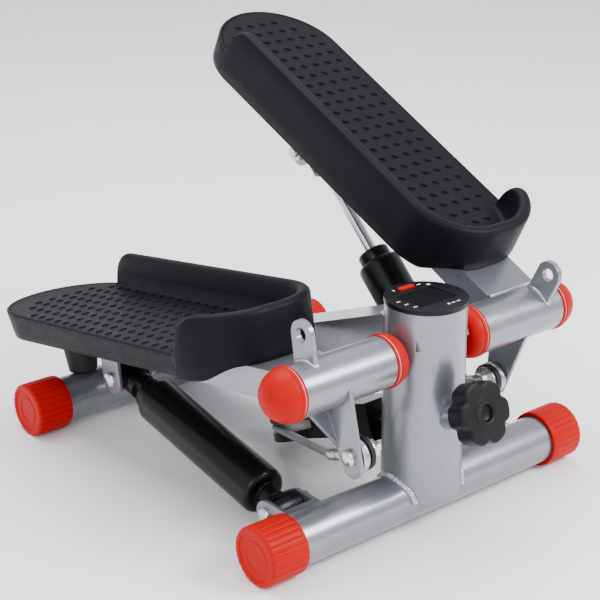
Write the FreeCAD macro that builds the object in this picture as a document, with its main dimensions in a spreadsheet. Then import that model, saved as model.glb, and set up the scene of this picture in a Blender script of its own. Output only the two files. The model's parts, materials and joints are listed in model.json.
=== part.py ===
import FreeCAD, Part
import math
import os
import re

import Sketcher

# A mini stepper: two pedals on one cross shaft, held up by two hydraulic dampers and tied to each other by a
# rope that runs round a pulley, so that one rises as the other sinks.  Millimetres; X to the right of a user
# who faces the post, Y from the post to the heel ends of the pedals, Z up from the floor.

Vector = FreeCAD.Vector
Placement = FreeCAD.Placement
Rotation = FreeCAD.Rotation
X_AXIS, Y_AXIS, Z_AXIS = Vector(1, 0, 0), Vector(0, 1, 0), Vector(0, 0, 1)

SIZES = {
    # base frame
    "front_y": -151.24, "base_span": 306, "base_height": 22, "base_half": 158,
    "tube_radius": 19, "tube_wall": 2,
    "cap_radius": 22.3, "cap_length": 32, "cap_end": 3, "cap_slack": 0.15,
    "post_radius": 30, "post_wall": 2.5, "post_bottom": 24, "post_top": 172,
    "beam_width": 50, "beam_depth": 30, "beam_wall": 2, "beam_top_y": 19.4, "beam_top_z": 162.2,
    "beam_length": 308.5, "beam_slope": 21.7,
    # cross shaft and pivot tubes
    "pivot_back": -2, "pivot_height": 137.5, "shaft_radius": 8, "shaft_half": 120,
    "pivot_inner": 46, "pivot_outer": 127, "pivot_wall": 2.5, "bush_length": 14, "running_gap": 0.06,
    "dome_radius": 19.5, "bead_radius": 20.1, "bead_width": 3.5, "spigot_length": 6, "collar_inner": 31.2,
    # pedals, measured in a frame that turns with them: across, along, above the shaft
    "pitch_down": -9.8, "pitch_up": 25.7,
    "pedal_across": 99, "tread_across": 98.1, "pedal_half": 57.7, "tread_top": 21, "tread_thick": 5,
    "skirt_bottom": 0, "skirt_wall": 4, "rim_top": 50, "rim_thick": 9, "rim_heel_end": 324, "rim_wing_end": 90,
    "toe_along": 43, "toe_inner_round": 50, "toe_outer_round": 50, "toe_relief": 68, "heel_along": 321,
    "rib_thick": 3, "rib_offset": 32,
    "arm_width": 50, "arm_depth": 22, "arm_wall": 2, "arm_end": 335, "arm_start": 15,
    "screw_radius": 3, "screw_head": 5.5, "screw_reach": 15.5, "heel_screw": 290, "toe_screw": 112,
    "bumper_along": 323.2, "bumper_top": 15.5, "bumper_foot": 12, "bumper_reach": 42,
    # band eyes
    "eye_across": 111, "eye_thick": 4, "eye_rise": 37, "eye_half": 10.5, "eye_hole": 5,
    # levers under the pivot tubes and their bolts
    "lever_across": 89, "lever_thick": 3, "lever_along": -12, "lever_drop": 54, "lever_tip": 9.5,
    "flange_reach": 24, "bolt_radius": 4, "bolt_slack": 0.1,
    # dampers
    "clevis_y": 41, "clevis_height": 22, "clevis_gap": 26, "ear_thick": 3, "ear_half": 11,
    "bracket_along": 252, "bracket_drop": 34, "bracket_half": 12,
    "damper_radius": 18.5, "damper_bore": 16, "damper_foot": 21, "damper_head": 163, "damper_floor": 6,
    "gland_radius": 13.5, "gland_length": 10, "damper_eye": 11.5, "damper_eye_width": 24,
    "rod_radius": 5.2, "rod_reach": 140, "piston_length": 14, "open_pivot_hole": 8, "eye_neck": 22,
    # height adjustment: along a line that slopes down to the rear through the post
    "screw_slope": 21.7, "screw_height": 81.6, "spindle_radius": 5, "spindle_front": -64, "spindle_back": 72,
    "knob_front": -68.7, "knob_thick": 17, "knob_radius": 23.5, "knob_scallop": 7, "knob_lobes": 6,
    "knob_neck": 12, "knob_neck_back": -43, "knob_recess": 9, "boss_radius": 11, "boss_front": -42.4,
    "block_front": 44, "block_back": 78, "block_half": 16, "block_thick": 15,
    "pulley_along": 146.6, "cheek_radius": 26.5, "cheek_thick": 11, "slot_half": 4.5, "web_end": 116,
    "pulley_radius": 23.6, "pulley_half": 4, "rope_round": 23, "rope_radius": 3, "groove_radius": 3.35,
    "pin_radius": 4,
    "loop_round": 10, "loop_across": 85.6, "ferrule_radius": 4.5, "ferrule_start": 14.5, "ferrule_end": 30,
    # monitor in the top of the post
    "bezel_radius": 30.4, "bezel_top": 175.5, "plug_radius": 27.3, "plug_bottom": 156, "plug_bore": 25,
    "plug_roof": 169.5, "window_x": 36, "window_y": 27, "window_depth": 2, "lens_thick": 1.6,
    "panel_x": 32, "panel_y": 23, "button_y": 21, "button_radius": 2.5, "button_half": 5,
    "board_x": 36, "board_y": 30, "board_z": 164.6, "board_thick": 1.6, "cell_radius": 5.25, "cell_length": 44.5,
}

doc = FreeCAD.newDocument("stepper")
sheet = doc.addObject("Spreadsheet::Sheet", "sizes")
for row, (alias, number) in enumerate(SIZES.items(), start=1):
    sheet.set(f"A{row}", alias)
    sheet.set(f"B{row}", str(number))
    sheet.setAlias(f"B{row}", alias)
doc.recompute()

pieces = []


def linked(text):
    """The expression with every size name pointed at the sheet."""
    return re.sub(r"[a-z_]+", lambda word: "sizes." + word.group() if word.group() in SIZES else word.group(),
                  str(text))


def value(text):
    """What an expression in size names comes to now."""
    return float(sheet.evalExpression(linked(text)))


def bind(thing, **sizes):
    for prop, text in sizes.items():
        thing.setExpression(prop, linked(text))


def move(thing, at, turn=Rotation()):
    """Put a thing at a point given as three expressions."""
    thing.Placement = Placement(Vector(*[value(text) for text in at]), turn)
    for axis, text in zip("xyz", at):
        thing.setExpression(f"Placement.Base.{axis}", linked(text))
    return thing


ALONG = {"X": Rotation(Y_AXIS, 90), "Y": Rotation(X_AXIS, -90), "Z": Rotation(Z_AXIS, 45)}


def cylinder(radius, length, at, along="X"):
    solid = doc.addObject("Part::Cylinder", "cylinder")
    bind(solid, Radius=radius, Height=length)
    return move(solid, at, ALONG[along])


def box(lengths, at):
    solid = doc.addObject("Part::Box", "box")
    bind(solid, Length=lengths[0], Width=lengths[1], Height=lengths[2])
    return move(solid, at)


def cone(low_radius, high_radius, height, at):
    solid = doc.addObject("Part::Cone", "cone")
    bind(solid, Radius1=low_radius, Radius2=high_radius, Height=height)
    return move(solid, at)


def nut(radius, length, at):
    """A hexagon along X."""
    solid = doc.addObject("Part::Prism", "hexagon")
    solid.Polygon = 6
    bind(solid, Circumradius=radius, Height=length)
    return move(solid, at, ALONG["X"])


def joined(*solids):
    whole = doc.addObject("Part::MultiFuse", "fusion")
    whole.Shapes = list(solids)
    return whole


def group(*solids):
    """Separate solids that make one node."""
    whole = doc.addObject("Part::Compound", "group")
    whole.Links = list(solids)
    return whole


def cut(solid, *tools):
    for tool in tools:
        left = doc.addObject("Part::Cut", "cut")
        left.Base, left.Tool = solid, tool
        solid = left
    return solid


def origin_plane(body, role):
    return next(plane for plane in body.Origin.OriginFeatures if plane.Role == role)


def add_loop(sketch, path):
    """Add one closed loop of lines and arcs.  A vertex is (x, y), reached by a line, or (x, y, radius, cx, cy,
    turn), reached by an arc about (cx, cy) that turns +1 anticlockwise or -1 clockwise."""
    corners = [Vector(value(step[0]), value(step[1]), 0) for step in path]
    edges = []
    for number, step in enumerate(path):
        start, end = corners[number - 1], corners[number]
        if len(step) == 2:
            edges.append((sketch.addGeometry(Part.LineSegment(start, end)), 1, 2))
            continue
        centre = Vector(value(step[3]), value(step[4]), 0)
        angles = [math.atan2(point.y - centre.y, point.x - centre.x) for point in (start, end)]
        first, last = (1, 2) if step[5] > 0 else (2, 1)
        if step[5] < 0:
            angles.reverse()
        circle = Part.Circle(centre, Z_AXIS, value(step[2]))
        edges.append((sketch.addGeometry(Part.ArcOfCircle(circle, *angles)), first, last))
    for number, step in enumerate(path):
        edge, _, last = edges[number]
        following, first, _ = edges[(number + 1) % len(edges)]
        sketch.addConstraint(Sketcher.Constraint("Coincident", edge, last, following, first))
        for kind, text, amount in (("DistanceX", step[0], corners[number].x), ("DistanceY", step[1], corners[number].y)):
            fixed = sketch.addConstraint(Sketcher.Constraint(kind, -1, 1, edge, last, amount))
            sketch.setExpression(f"Constraints[{fixed}]", linked(text))
        if len(step) > 2:
            chord = corners[number] - corners[number - 1]
            kind, text = ("DistanceY", step[4]) if abs(chord.x) > abs(chord.y) else ("DistanceX", step[3])
            centred = sketch.addConstraint(Sketcher.Constraint(kind, -1, 1, edge, 3, value(text)))
            sketch.setExpression(f"Constraints[{centred}]", linked(text))


def sketched(path, plane, start):
    body = doc.addObject("PartDesign::Body", "body")
    sketch = body.newObject("Sketcher::SketchObject", "outline")
    sketch.AttachmentSupport = [(origin_plane(body, plane), "")]
    sketch.MapMode = "FlatFace"
    sketch.AttachmentOffset = Placement(Vector(0, 0, value(start)), Rotation())
    sketch.setExpression("AttachmentOffset.Base.z", linked(start))
    add_loop(sketch, path)
    return body, sketch


def extruded(path, start, length, plane="XY_Plane"):
    """A plate: an outline on one of the body's own planes, raised by start and padded by length."""
    body, sketch = sketched(path, plane, start)
    pad = body.newObject("PartDesign::Pad", "pad")
    pad.Profile = sketch
    bind(pad, Length=length)
    return body


def revolved(path):
    """A turned piece: path gives places along X and radii, and the solid turns about X."""
    body, sketch = sketched(path, "XY_Plane", "0")
    turned = body.newObject("PartDesign::Revolution", "turned")
    turned.Profile = sketch
    turned.ReferenceAxis = (sketch, ["H_Axis"])
    turned.Angle = 360
    return body


def keep(label, solid, frame):
    """Name a finished sub-part and stand it in its frame."""
    whole = solid if solid.isDerivedFrom("Part::Boolean") else group(solid)
    whole.Label = label
    whole.Placement = frame
    pieces.append(whole)
    return whole


def keep_pair(label, solid, right_frame, left_frame):
    """The right-hand piece as modelled, and its mirror image on the left."""
    mirrored = doc.addObject("Part::Mirroring", "mirrored")
    mirrored.Source = solid
    mirrored.Normal = X_AXIS
    keep(label + "_right", group(solid), right_frame)
    keep(label + "_left", group(mirrored), left_frame)


# ---------------------------------------------------------------- frames that the pieces stand in
def at(x, y, z, turn=0.0):
    return Placement(Vector(x, y, z), Rotation(X_AXIS, turn))


FRONT_Y = value("front_y")
PIVOT = Vector(0, FRONT_Y + value("pivot_back"), value("pivot_height"))
BASE = at(0, FRONT_Y, 0)
PEDAL = {"right": at(*PIVOT, value("pitch_up")), "left": at(*PIVOT, value("pitch_down"))}
SCREW = at(0, FRONT_Y, value("screw_height"), -value("screw_slope"))
LOWER_BOLT = Vector(0, FRONT_Y + value("clevis_y"), value("clevis_height"))
UPPER_BOLT = Vector(0, value("bracket_along"), -value("bracket_drop"))


def damper_frames(side):
    """Frames at the damper's lower and upper bolts, with Y along the damper."""
    upper = PEDAL[side].multVec(UPPER_BOLT)
    reach = upper - LOWER_BOLT
    lean = math.degrees(math.atan2(reach.z, reach.y))
    return at(*LOWER_BOLT, lean), at(*upper, lean)


DAMPER = {side: damper_frames(side) for side in ("right", "left")}


# ---------------------------------------------------------------- base frame
def cross_tube(label, y):
    half = "(base_half - cap_end - 0.3)"
    outer = cylinder("tube_radius", f"2 * {half}", (f"-{half}", y, "base_height"))
    inner = cylinder("tube_radius - tube_wall", f"2 * {half} + 2", (f"-{half} - 1", y, "base_height"))
    keep(label, cut(outer, inner), BASE)


def end_cap():
    """A cup pressed over a tube end, with a sunk disc in its end face and a narrow flat to stand on."""
    start, end, inside = "base_half - cap_length", "base_half", "base_half - cap_end"
    cup = revolved([
        (start, "tube_radius + cap_slack"), (inside, "tube_radius + cap_slack"), (inside, "0"),
        (f"{end} - 1", "0"), (f"{end} - 1", "cap_radius - 6.5"), (end, "cap_radius - 6"), (end, "cap_radius - 2"),
        (f"{end} - 2", "cap_radius"), (start, "cap_radius"),
    ])
    return cut(cup, box(("cap_length + 2", "2 * cap_radius", "cap_radius"),
                        (f"{start} - 1", "-cap_radius", "-base_height - cap_radius")))


def post():
    tall = "post_top - post_bottom"
    shell = cylinder("post_radius", tall, ("0", "0", "post_bottom"), "Z")
    hollow = cylinder("post_radius - post_wall", f"{tall} + 2", ("0", "0", "post_bottom - 1"), "Z")
    tube_hole = cylinder("tube_radius", "3 * post_radius", ("-1.5 * post_radius", "0", "base_height"))
    shaft_hole = cylinder("shaft_radius", "3 * post_radius", ("-1.5 * post_radius", "pivot_back", "pivot_height"))
    spindle_hole = cylinder("spindle_radius + 1", "4 * post_radius", ("0", "0", "0"), "Y")
    spindle_hole.Placement = at(0, 0, value("screw_height"), -value("screw_slope")).multiply(
        Placement(Vector(0, -2 * value("post_radius"), 0), ALONG["Y"]))
    for axis in "xyz":
        spindle_hole.setExpression(f"Placement.Base.{axis}", None)
    return cut(shell, hollow, tube_hole, shaft_hole, spindle_hole)


def sloping(solid, at_y, at_z, slope):
    """Tip a solid about X, in the base's frame."""
    tipped = group(solid)
    tipped.Placement = at(0, value(at_y), value(at_z), -value(slope))
    return tipped


def rear_beam():
    outer = box(("beam_width", "beam_length + beam_depth", "beam_depth"),
                ("-beam_width / 2", "-beam_depth", "-beam_depth"))
    inner = box(("beam_width - 2 * beam_wall", "beam_length + beam_depth + 2", "beam_depth - 2 * beam_wall"),
                ("beam_wall - beam_width / 2", "-beam_depth - 1", "beam_wall - beam_depth"))
    tube = sloping(cut(outer, inner), "beam_top_y", "beam_top_z", "beam_slope")
    post_room = cylinder("post_radius", "post_top", ("0", "0", "post_bottom"), "Z")
    tube_room = cylinder("tube_radius", "2 * beam_width", ("-beam_width", "base_span", "base_height"))
    return cut(tube, post_room, tube_room)


def eared_plate(half, thick, across, pin_along, pin_up, foot, hole):
    """A plate square to X: a straight foot, and a round end about a pin hole at (pin_along, pin_up)."""
    slab = box((thick, foot[1], foot[3]), (across, foot[0], foot[2]))
    end = cylinder(half, thick, (across, pin_along, pin_up))
    return cut(joined(slab, end), cylinder(hole, f"{thick} + 2", (f"{across} - 1", pin_along, pin_up)))


def damper_clevis():
    """Two ears and a web, welded to the rear of the front cross tube."""
    foot = ("12", "clevis_y - 12", "clevis_height - ear_half", "2 * ear_half")
    ears = [eared_plate("ear_half", "ear_thick", start, "clevis_y", "clevis_height", foot,
                        "bolt_radius + bolt_slack")
            for start in ("pedal_across - clevis_gap / 2 - ear_thick", "pedal_across + clevis_gap / 2")]
    web = box(("clevis_gap", "11", "2 * ear_half"),
              ("pedal_across - clevis_gap / 2", "12", "clevis_height - ear_half"))
    tube_room = cylinder("tube_radius", "clevis_gap + 4 * ear_thick",
                         ("pedal_across - clevis_gap / 2 - 2 * ear_thick", "0", "base_height"))
    return cut(joined(*ears, web), tube_room)


def clevis_bolt(y, z):
    """Bolt with a button head outboard and a nut inboard."""
    outer, inner = "pedal_across + clevis_gap / 2 + ear_thick", "pedal_across - clevis_gap / 2 - ear_thick"
    shank = cylinder("bolt_radius", "clevis_gap + 2 * ear_thick + 9", (f"{inner} - 9", y, z))
    head = cylinder("1.55 * bolt_radius", "0.6 * bolt_radius", (outer, y, z))
    hexagon = cut(nut("1.85 * bolt_radius", "6.5", (f"{inner} - 6.5", y, z)),
                  cylinder("bolt_radius", "9", (f"{inner} - 8", y, z)))
    return group(joined(shank, head), hexagon)


def both_sides(solid):
    mirrored = doc.addObject("Part::Mirroring", "mirrored")
    mirrored.Source = solid
    mirrored.Normal = X_AXIS
    return group(solid, mirrored)


cross_tube("front_cross_tube", "0")
cross_tube("rear_cross_tube", "base_span")
CAP = end_cap()
for end, y in (("front", FRONT_Y), ("rear", FRONT_Y + value("base_span"))):
    keep(f"{end}_caps", both_sides(CAP), at(0, y, value("base_height")))
keep("post", post(), BASE)
keep("rear_beam", rear_beam(), BASE)
keep("pivot_shaft", cylinder("shaft_radius", "2 * shaft_half", ("-shaft_half", "pivot_back", "pivot_height")), BASE)
keep("damper_clevises", both_sides(damper_clevis()), BASE)
keep("lower_damper_bolts", both_sides(clevis_bolt("clevis_y", "clevis_height")), BASE)


# ---------------------------------------------------------------- pivot tubes and what is welded to them
def tube_room(length="4 * pivot_outer"):
    """The space of a pivot tube, from which welded pieces are coped."""
    return cylinder("tube_radius", length, (f"-({length}) / 2", "0", "0"))


def pivot_tube():
    length = "pivot_outer - pivot_inner"
    return cut(cylinder("tube_radius", length, ("pivot_inner", "0", "0")),
               cylinder("tube_radius - pivot_wall", f"{length} + 2", ("pivot_inner - 1", "0", "0")))


def pivot_bushes():
    """Two plastic bushes that fill the tube's ends and run on the cross shaft."""
    rings = [cut(cylinder("tube_radius - pivot_wall", "bush_length", (start, "0", "0")),
                 cylinder("shaft_radius + running_gap", "bush_length + 2", (f"{start} - 1", "0", "0")))
             for start in ("pivot_inner + 0.5", "pivot_outer - spigot_length - bush_length - 0.5")]
    return group(*rings)


def pivot_dome():
    """A ball-shaped cap with a bead where it meets the tube and a spigot inside it."""
    inside, face = "pivot_outer - spigot_length", "pivot_outer + bead_width"
    return revolved([
        (inside, "0"), (inside, "tube_radius - pivot_wall"), ("pivot_outer", "tube_radius - pivot_wall"),
        ("pivot_outer", "bead_radius"), (face, "bead_radius"), (face, "dome_radius"),
        (f"{face} + dome_radius", "0", "dome_radius", face, "0", -1),
    ])


def inner_collar():
    """A ring that narrows towards the post, with clear room round the shaft."""
    shoulder = "pivot_inner - 6"
    return revolved([
        ("collar_inner", "shaft_radius + 0.4"), ("collar_inner", "dome_radius - 8"),
        (shoulder, "dome_radius"), ("pivot_inner", "dome_radius"), ("pivot_inner", "shaft_radius + 0.4"),
    ])


def pedal_arm():
    long = "arm_end - arm_start"
    outer = box(("arm_width", long, "arm_depth"), ("pedal_across - arm_width / 2", "arm_start", "-arm_depth / 2"))
    inner = box(("arm_width - 2 * arm_wall", f"{long} + 2", "arm_depth - 2 * arm_wall"),
                ("pedal_across - arm_width / 2 + arm_wall", "arm_start - 1", "arm_wall - arm_depth / 2"))
    holes = [cylinder("screw_radius", "2 * arm_depth", ("pedal_across", along, "-arm_depth"), "Z")
             for along in ("heel_screw", "toe_screw")]
    return cut(outer, inner, tube_room(), *holes)


def band_eye():
    start = "eye_across - eye_thick / 2"
    foot = ("-eye_half", "2 * eye_half", "14", "eye_rise - 14")
    return cut(eared_plate("eye_half", "eye_thick", start, "0", "eye_rise", foot, "eye_hole"), tube_room())


def lever_bracket():
    """A tapered plate with its rear edge folded outboard into a triangular flange."""
    tip_along, tip_up = "lever_along - 1", "-lever_drop - 6"
    plate = extruded([
        ("-19", "-5"), (f"{tip_along} - lever_tip", tip_up), (f"{tip_along} + lever_tip", tip_up), ("16", "-8"),
    ], "lever_across", "lever_thick", "YZ_Plane")
    tip = cylinder("lever_tip", "lever_thick", ("lever_across", tip_along, tip_up))
    flange = extruded([("0", "0"), ("0", "-44"), ("flange_reach", "0")], "0", "lever_thick")
    fold = math.degrees(math.atan2(value(f"16 - ({tip_along} + lever_tip)"), value(f"-8 - ({tip_up})")))
    flange.Placement = Placement(Vector(value("lever_across + lever_thick"), 16, -8),
                                 Rotation(X_AXIS, 90 - fold))
    hole = cylinder("bolt_radius + bolt_slack", "4 * lever_thick", ("lever_across - 3", "lever_along", "-lever_drop"))
    return cut(joined(plate, tip, flange), hole, tube_room())


WASHER_FACE = "(loop_across - rope_radius - 0.4)"


def lever_bolt():
    """Bolt through the lever, with a steel washer and a nut inboard of the rope's loop."""
    place = ("lever_along", "-lever_drop")
    washer_start = f"{WASHER_FACE} - 3.5 - 2"
    shank = cylinder("bolt_radius", "lever_across + lever_thick - 66", ("66", *place))
    head = cylinder("1.55 * bolt_radius", "0.6 * bolt_radius", ("lever_across + lever_thick", *place))
    washer = cut(cylinder("11", "2", (washer_start, *place)), cylinder("bolt_radius", "4", (f"{washer_start} - 1", *place)))
    hexagon = cut(nut("1.85 * bolt_radius", "6.5", (f"{washer_start} - 6.5", *place)),
                  cylinder("bolt_radius", "9", (f"{washer_start} - 8", *place)))
    return group(joined(shank, head), washer, hexagon)


def lever_washer():
    start = f"{WASHER_FACE} - 3.5"
    place = ("lever_along", "-lever_drop")
    return cut(cylinder("12.5", "3.5", (start, *place)), cylinder("bolt_radius", "6", (f"{start} - 1", *place)))


def damper_bracket():
    """A channel welded under the arm, open downwards, that takes the rod's eye."""
    foot = ("bracket_along - bracket_half", "2 * bracket_half", "-bracket_drop", "bracket_drop - arm_depth / 2")
    ears = [eared_plate("bracket_half", "ear_thick", start, "bracket_along", "-bracket_drop", foot,
                        "bolt_radius + bolt_slack")
            for start in ("pedal_across - clevis_gap / 2 - ear_thick", "pedal_across + clevis_gap / 2")]
    web = box(("clevis_gap", "2 * bracket_half", "ear_thick"),
              ("pedal_across - clevis_gap / 2", "bracket_along - bracket_half", "-arm_depth / 2 - ear_thick"))
    return joined(*ears, web)


for name, make in (("pivot_tube", pivot_tube), ("pivot_bushes", pivot_bushes), ("pivot_dome", pivot_dome),
                   ("inner_collar", inner_collar), ("pedal_arm", pedal_arm), ("band_eye", band_eye),
                   ("lever_bracket", lever_bracket), ("lever_bolt", lever_bolt), ("lever_washer", lever_washer),
                   ("damper_bracket", damper_bracket)):
    keep_pair(name, make(), PEDAL["right"], PEDAL["left"])
keep_pair("upper_damper_bolt", clevis_bolt("bracket_along", "-bracket_drop"), PEDAL["right"], PEDAL["left"])


# ---------------------------------------------------------------- moulded pedals
def pedal_outline(inset):
    """Round heel, straight sides, and a toe whose inboard corner is rounder than its outboard one."""
    inner, outer = f"tread_across - pedal_half + {inset}", f"tread_across + pedal_half - {inset}"
    toe = f"toe_along + {inset}"
    turn_in, turn_out = "tread_across - pedal_half + toe_inner_round", "tread_across + pedal_half - toe_outer_round"
    low_in, low_out = "toe_along + toe_inner_round", "toe_along + toe_outer_round"
    return [
        (inner, "heel_along", f"pedal_half - {inset}", "tread_across", "heel_along", 1),
        (inner, low_in),
        (turn_in, toe, f"toe_inner_round - {inset}", turn_in, low_in, 1),
        (turn_out, toe),
        (outer, low_out, f"toe_outer_round - {inset}", turn_out, low_out, 1),
        (outer, "heel_along"),
    ]


def pedal_tread():
    """A shallow tray turned upside down, stiffened by ribs, with a rim round the inboard side and the toe."""
    tray = extruded(pedal_outline("0"), "skirt_bottom", "tread_top - skirt_bottom")
    room = extruded(pedal_outline("skirt_wall"), "skirt_bottom - 1", "tread_top - tread_thick - skirt_bottom + 1")
    toe_notch = box(("3 * pedal_half", "toe_relief - toe_along + 5", "arm_depth / 2 - skirt_bottom + 1"),
                    ("tread_across - 1.5 * pedal_half", "toe_along - 5", "skirt_bottom - 1"))
    ribs = [box(("rib_thick", "heel_along - toe_along - 60", "tread_top - skirt_bottom - 3"),
                (f"pedal_across + {side} * rib_offset - rib_thick / 2", "toe_along + 40", "skirt_bottom + 2"))
            for side in (-1, 1)]
    pads = [box(("2 * rib_offset", "rib_thick", "tread_top - arm_depth / 2 - 1"),
                ("pedal_across - rib_offset", f"toe_along + 45 + {step} * 55", "arm_depth / 2"))
            for step in range(5)]
    screw_posts = [cylinder("2 * screw_radius + 1", "tread_top - arm_depth / 2 - 1",
                            ("pedal_across", along, "arm_depth / 2"), "Z") for along in ("heel_screw", "toe_screw")]
    screw_holes = [cylinder("screw_radius", "screw_reach", ("pedal_across", along, "0"), "Z")
                   for along in ("heel_screw", "toe_screw")]
    ring = cut(extruded(pedal_outline("0"), "tread_top - 0.5", "rim_top - tread_top + 0.5"),
               extruded(pedal_outline("rim_thick"), "tread_top - 1", "rim_top - tread_top + 2"),
               box(("3 * pedal_half", "4 * pedal_half", "rim_top"),
                   ("tread_across - 1.5 * pedal_half", "rim_heel_end", "0")),
               box(("2 * pedal_half", "heel_along", "rim_top"), ("tread_across", "rim_wing_end", "0")))
    return cut(joined(cut(tray, room, toe_notch), *ribs, *pads, *screw_posts, ring), *screw_holes)


def pedal_screws():
    """Screws driven up through the arm into the tread."""
    screws = []
    for along in ("heel_screw", "toe_screw"):
        shank = cylinder("screw_radius", "arm_depth / 2 + screw_reach - 0.5", ("pedal_across", along, "-arm_depth / 2"), "Z")
        head = cylinder("screw_head", "3", ("pedal_across", along, "-arm_depth / 2 - 3"), "Z")
        screws.append(joined(shank, head))
    return group(*screws)


def heel_bumper():
    return cone("bumper_foot", "bumper_top", "bumper_reach - arm_depth / 2",
                ("pedal_across", "bumper_along", "-bumper_reach"))


keep_pair("pedal_tread", pedal_tread(), PEDAL["right"], PEDAL["left"])
keep_pair("pedal_screws", pedal_screws(), PEDAL["right"], PEDAL["left"])
keep_pair("heel_bumper", heel_bumper(), PEDAL["right"], PEDAL["left"])


# ---------------------------------------------------------------- dampers, along Y from the lower bolt
def turned_along_y(path):
    solid = revolved(path)
    solid.Placement = Placement(Vector(value("pedal_across"), 0, 0), Rotation(Z_AXIS, 90))
    return solid


def damper_eye_solid(hole):
    start = "pedal_across - damper_eye_width / 2"
    return (cylinder("damper_eye", "damper_eye_width", (start, "0", "0")),
            cylinder(hole, "damper_eye_width + 2", (f"{start} - 1", "0", "0")))


def damper_cylinder():
    """A closed barrel with a neck and an eye at its foot; its bore takes the piston."""
    foot, head = "damper_foot", "damper_head"
    barrel = turned_along_y([
        ("damper_eye - 3", "0"), ("damper_eye - 3", "9"), (foot, "9"), (foot, "damper_radius - 4"),
        (f"{foot} + 3", "damper_radius"), (f"{head} - 3", "damper_radius"), (head, "damper_radius - 3"), (head, "0"),
    ])
    bore = turned_along_y([(f"{foot} + damper_floor", "0"), (f"{foot} + damper_floor", "damper_bore"),
                           (f"{head} - damper_floor", "damper_bore"), (f"{head} - damper_floor", "0")])
    rod_hole = turned_along_y([(f"{head} - damper_floor - 1", "0"), (f"{head} - damper_floor - 1", "rod_radius + running_gap"),
                               (f"{head} + 1", "rod_radius + running_gap"), (f"{head} + 1", "0")])
    eye, eye_hole = damper_eye_solid("bolt_radius + running_gap")
    return cut(joined(barrel, eye), bore, rod_hole, eye_hole)


def damper_gland():
    head, tip = "damper_head", "damper_head + gland_length"
    return turned_along_y([
        (head, "rod_radius + running_gap"), (head, "gland_radius"), (f"{tip} - 2", "gland_radius"),
        (tip, "gland_radius - 2"), (tip, "rod_radius + running_gap"),
    ])


def damper_rod():
    """Piston and rod, measured back from the upper bolt."""
    crown = "-rod_reach + piston_length"
    return turned_along_y([
        ("-rod_reach", "0"), ("-rod_reach", "damper_bore - running_gap"), (crown, "damper_bore - running_gap"),
        (crown, "rod_radius"), ("-eye_neck", "rod_radius"), ("-eye_neck", "0"),
    ])


def damper_top():
    """The rod's upper eye, with a thick neck that takes the rod's end."""
    neck = turned_along_y([("-eye_neck", "0"), ("-eye_neck", "damper_eye - 0.5"), ("-8.6", "damper_eye - 0.5"),
                           ("-8.6", "0")])
    eye, eye_hole = damper_eye_solid("open_pivot_hole")
    return cut(joined(neck, eye), eye_hole)


keep_pair("damper_cylinder", group(damper_cylinder(), damper_gland()), DAMPER["right"][0], DAMPER["left"][0])
keep_pair("damper_rod", damper_rod(), DAMPER["right"][1], DAMPER["left"][1])
keep_pair("damper_top", damper_top(), DAMPER["right"][1], DAMPER["left"][1])


# ---------------------------------------------------------------- height adjustment, along Y of the sloping line
def post_room():
    """The space of the post, seen from the sloping line."""
    room = group(cylinder("post_radius", "2 * post_top", ("0", "0", "-post_top"), "Z"))
    room.Placement = at(0, 0, 0, value("screw_slope"))
    return room


def screw_boss():
    front = "boss_front"
    return cut(cylinder("boss_radius", "-boss_front", ("0", front, "0"), "Y"),
               cylinder("spindle_radius + 0.4", "-boss_front + 2", ("0", f"{front} - 1", "0"), "Y"), post_room())


def height_knob():
    """A lobed knob: a disc with scallops round it, a sunk middle and a neck behind."""
    disc = cylinder("knob_radius", "knob_thick", ("0", "knob_front", "0"), "Y")
    neck = cylinder("knob_neck", "knob_neck_back - knob_front - knob_thick",
                    ("0", "knob_front + knob_thick", "0"), "Y")
    recess = cylinder("knob_recess", "4", ("0", "knob_front - 1", "0"), "Y")
    scallops = []
    for number in range(int(value("knob_lobes"))):
        angle = math.radians(360 * (number + 0.5) / value("knob_lobes"))
        place = f"(knob_radius + knob_scallop / 2)"
        scallops.append(cylinder("knob_scallop", "knob_thick + 2",
                                 (f"{place} * {math.cos(angle):.6f}", "knob_front - 1",
                                  f"{place} * {math.sin(angle):.6f}"), "Y"))
    bore = cylinder("spindle_radius", "knob_neck_back - spindle_front + 1", ("0", "spindle_front", "0"), "Y")
    return cut(joined(disc, neck), recess, *scallops, bore)


def pulley_fork():
    """A threaded block that runs on the screw, with two cheeks that hold the pulley."""
    block = box(("2 * block_half", "block_back - block_front", "2 * block_thick"),
                ("-block_half", "block_front", "-block_thick"))
    tongue = box(("2 * block_half", "pulley_along - block_back + 1", "2 * cheek_thick"),
                 ("-block_half", "block_back - 1", "-cheek_thick"))
    end = cylinder("cheek_radius", "2 * cheek_thick", ("0", "pulley_along", "-cheek_thick"), "Z")
    slot = box(("3 * cheek_radius", "2 * cheek_radius + pulley_along - web_end", "2 * slot_half"),
               ("-1.5 * cheek_radius", "web_end", "-slot_half"))
    bore = cylinder("spindle_radius + running_gap", "spindle_back - block_front + 4", ("0", "block_front - 1", "0"), "Y")
    pin_hole = cylinder("pin_radius", "3 * cheek_thick", ("0", "pulley_along", "-1.5 * cheek_thick"), "Z")
    return cut(joined(block, tongue, end), slot, bore, pin_hole)


def pulley():
    """A grooved wheel, turned about X and then stood on its pin."""
    lip = "groove_radius"
    wheel = revolved([
        ("-pulley_half", "pin_radius + running_gap"), ("pulley_half", "pin_radius + running_gap"),
        ("pulley_half", "pulley_radius"), (lip, "pulley_radius"), (lip, "rope_round"),
        (f"-{lip}", "rope_round", "groove_radius", "0", "rope_round", -1),
        (f"-{lip}", "pulley_radius"), ("-pulley_half", "pulley_radius"),
    ])
    wheel.Placement = Placement(Vector(0, value("pulley_along"), 0), Rotation(Y_AXIS, -90))
    return wheel


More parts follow.
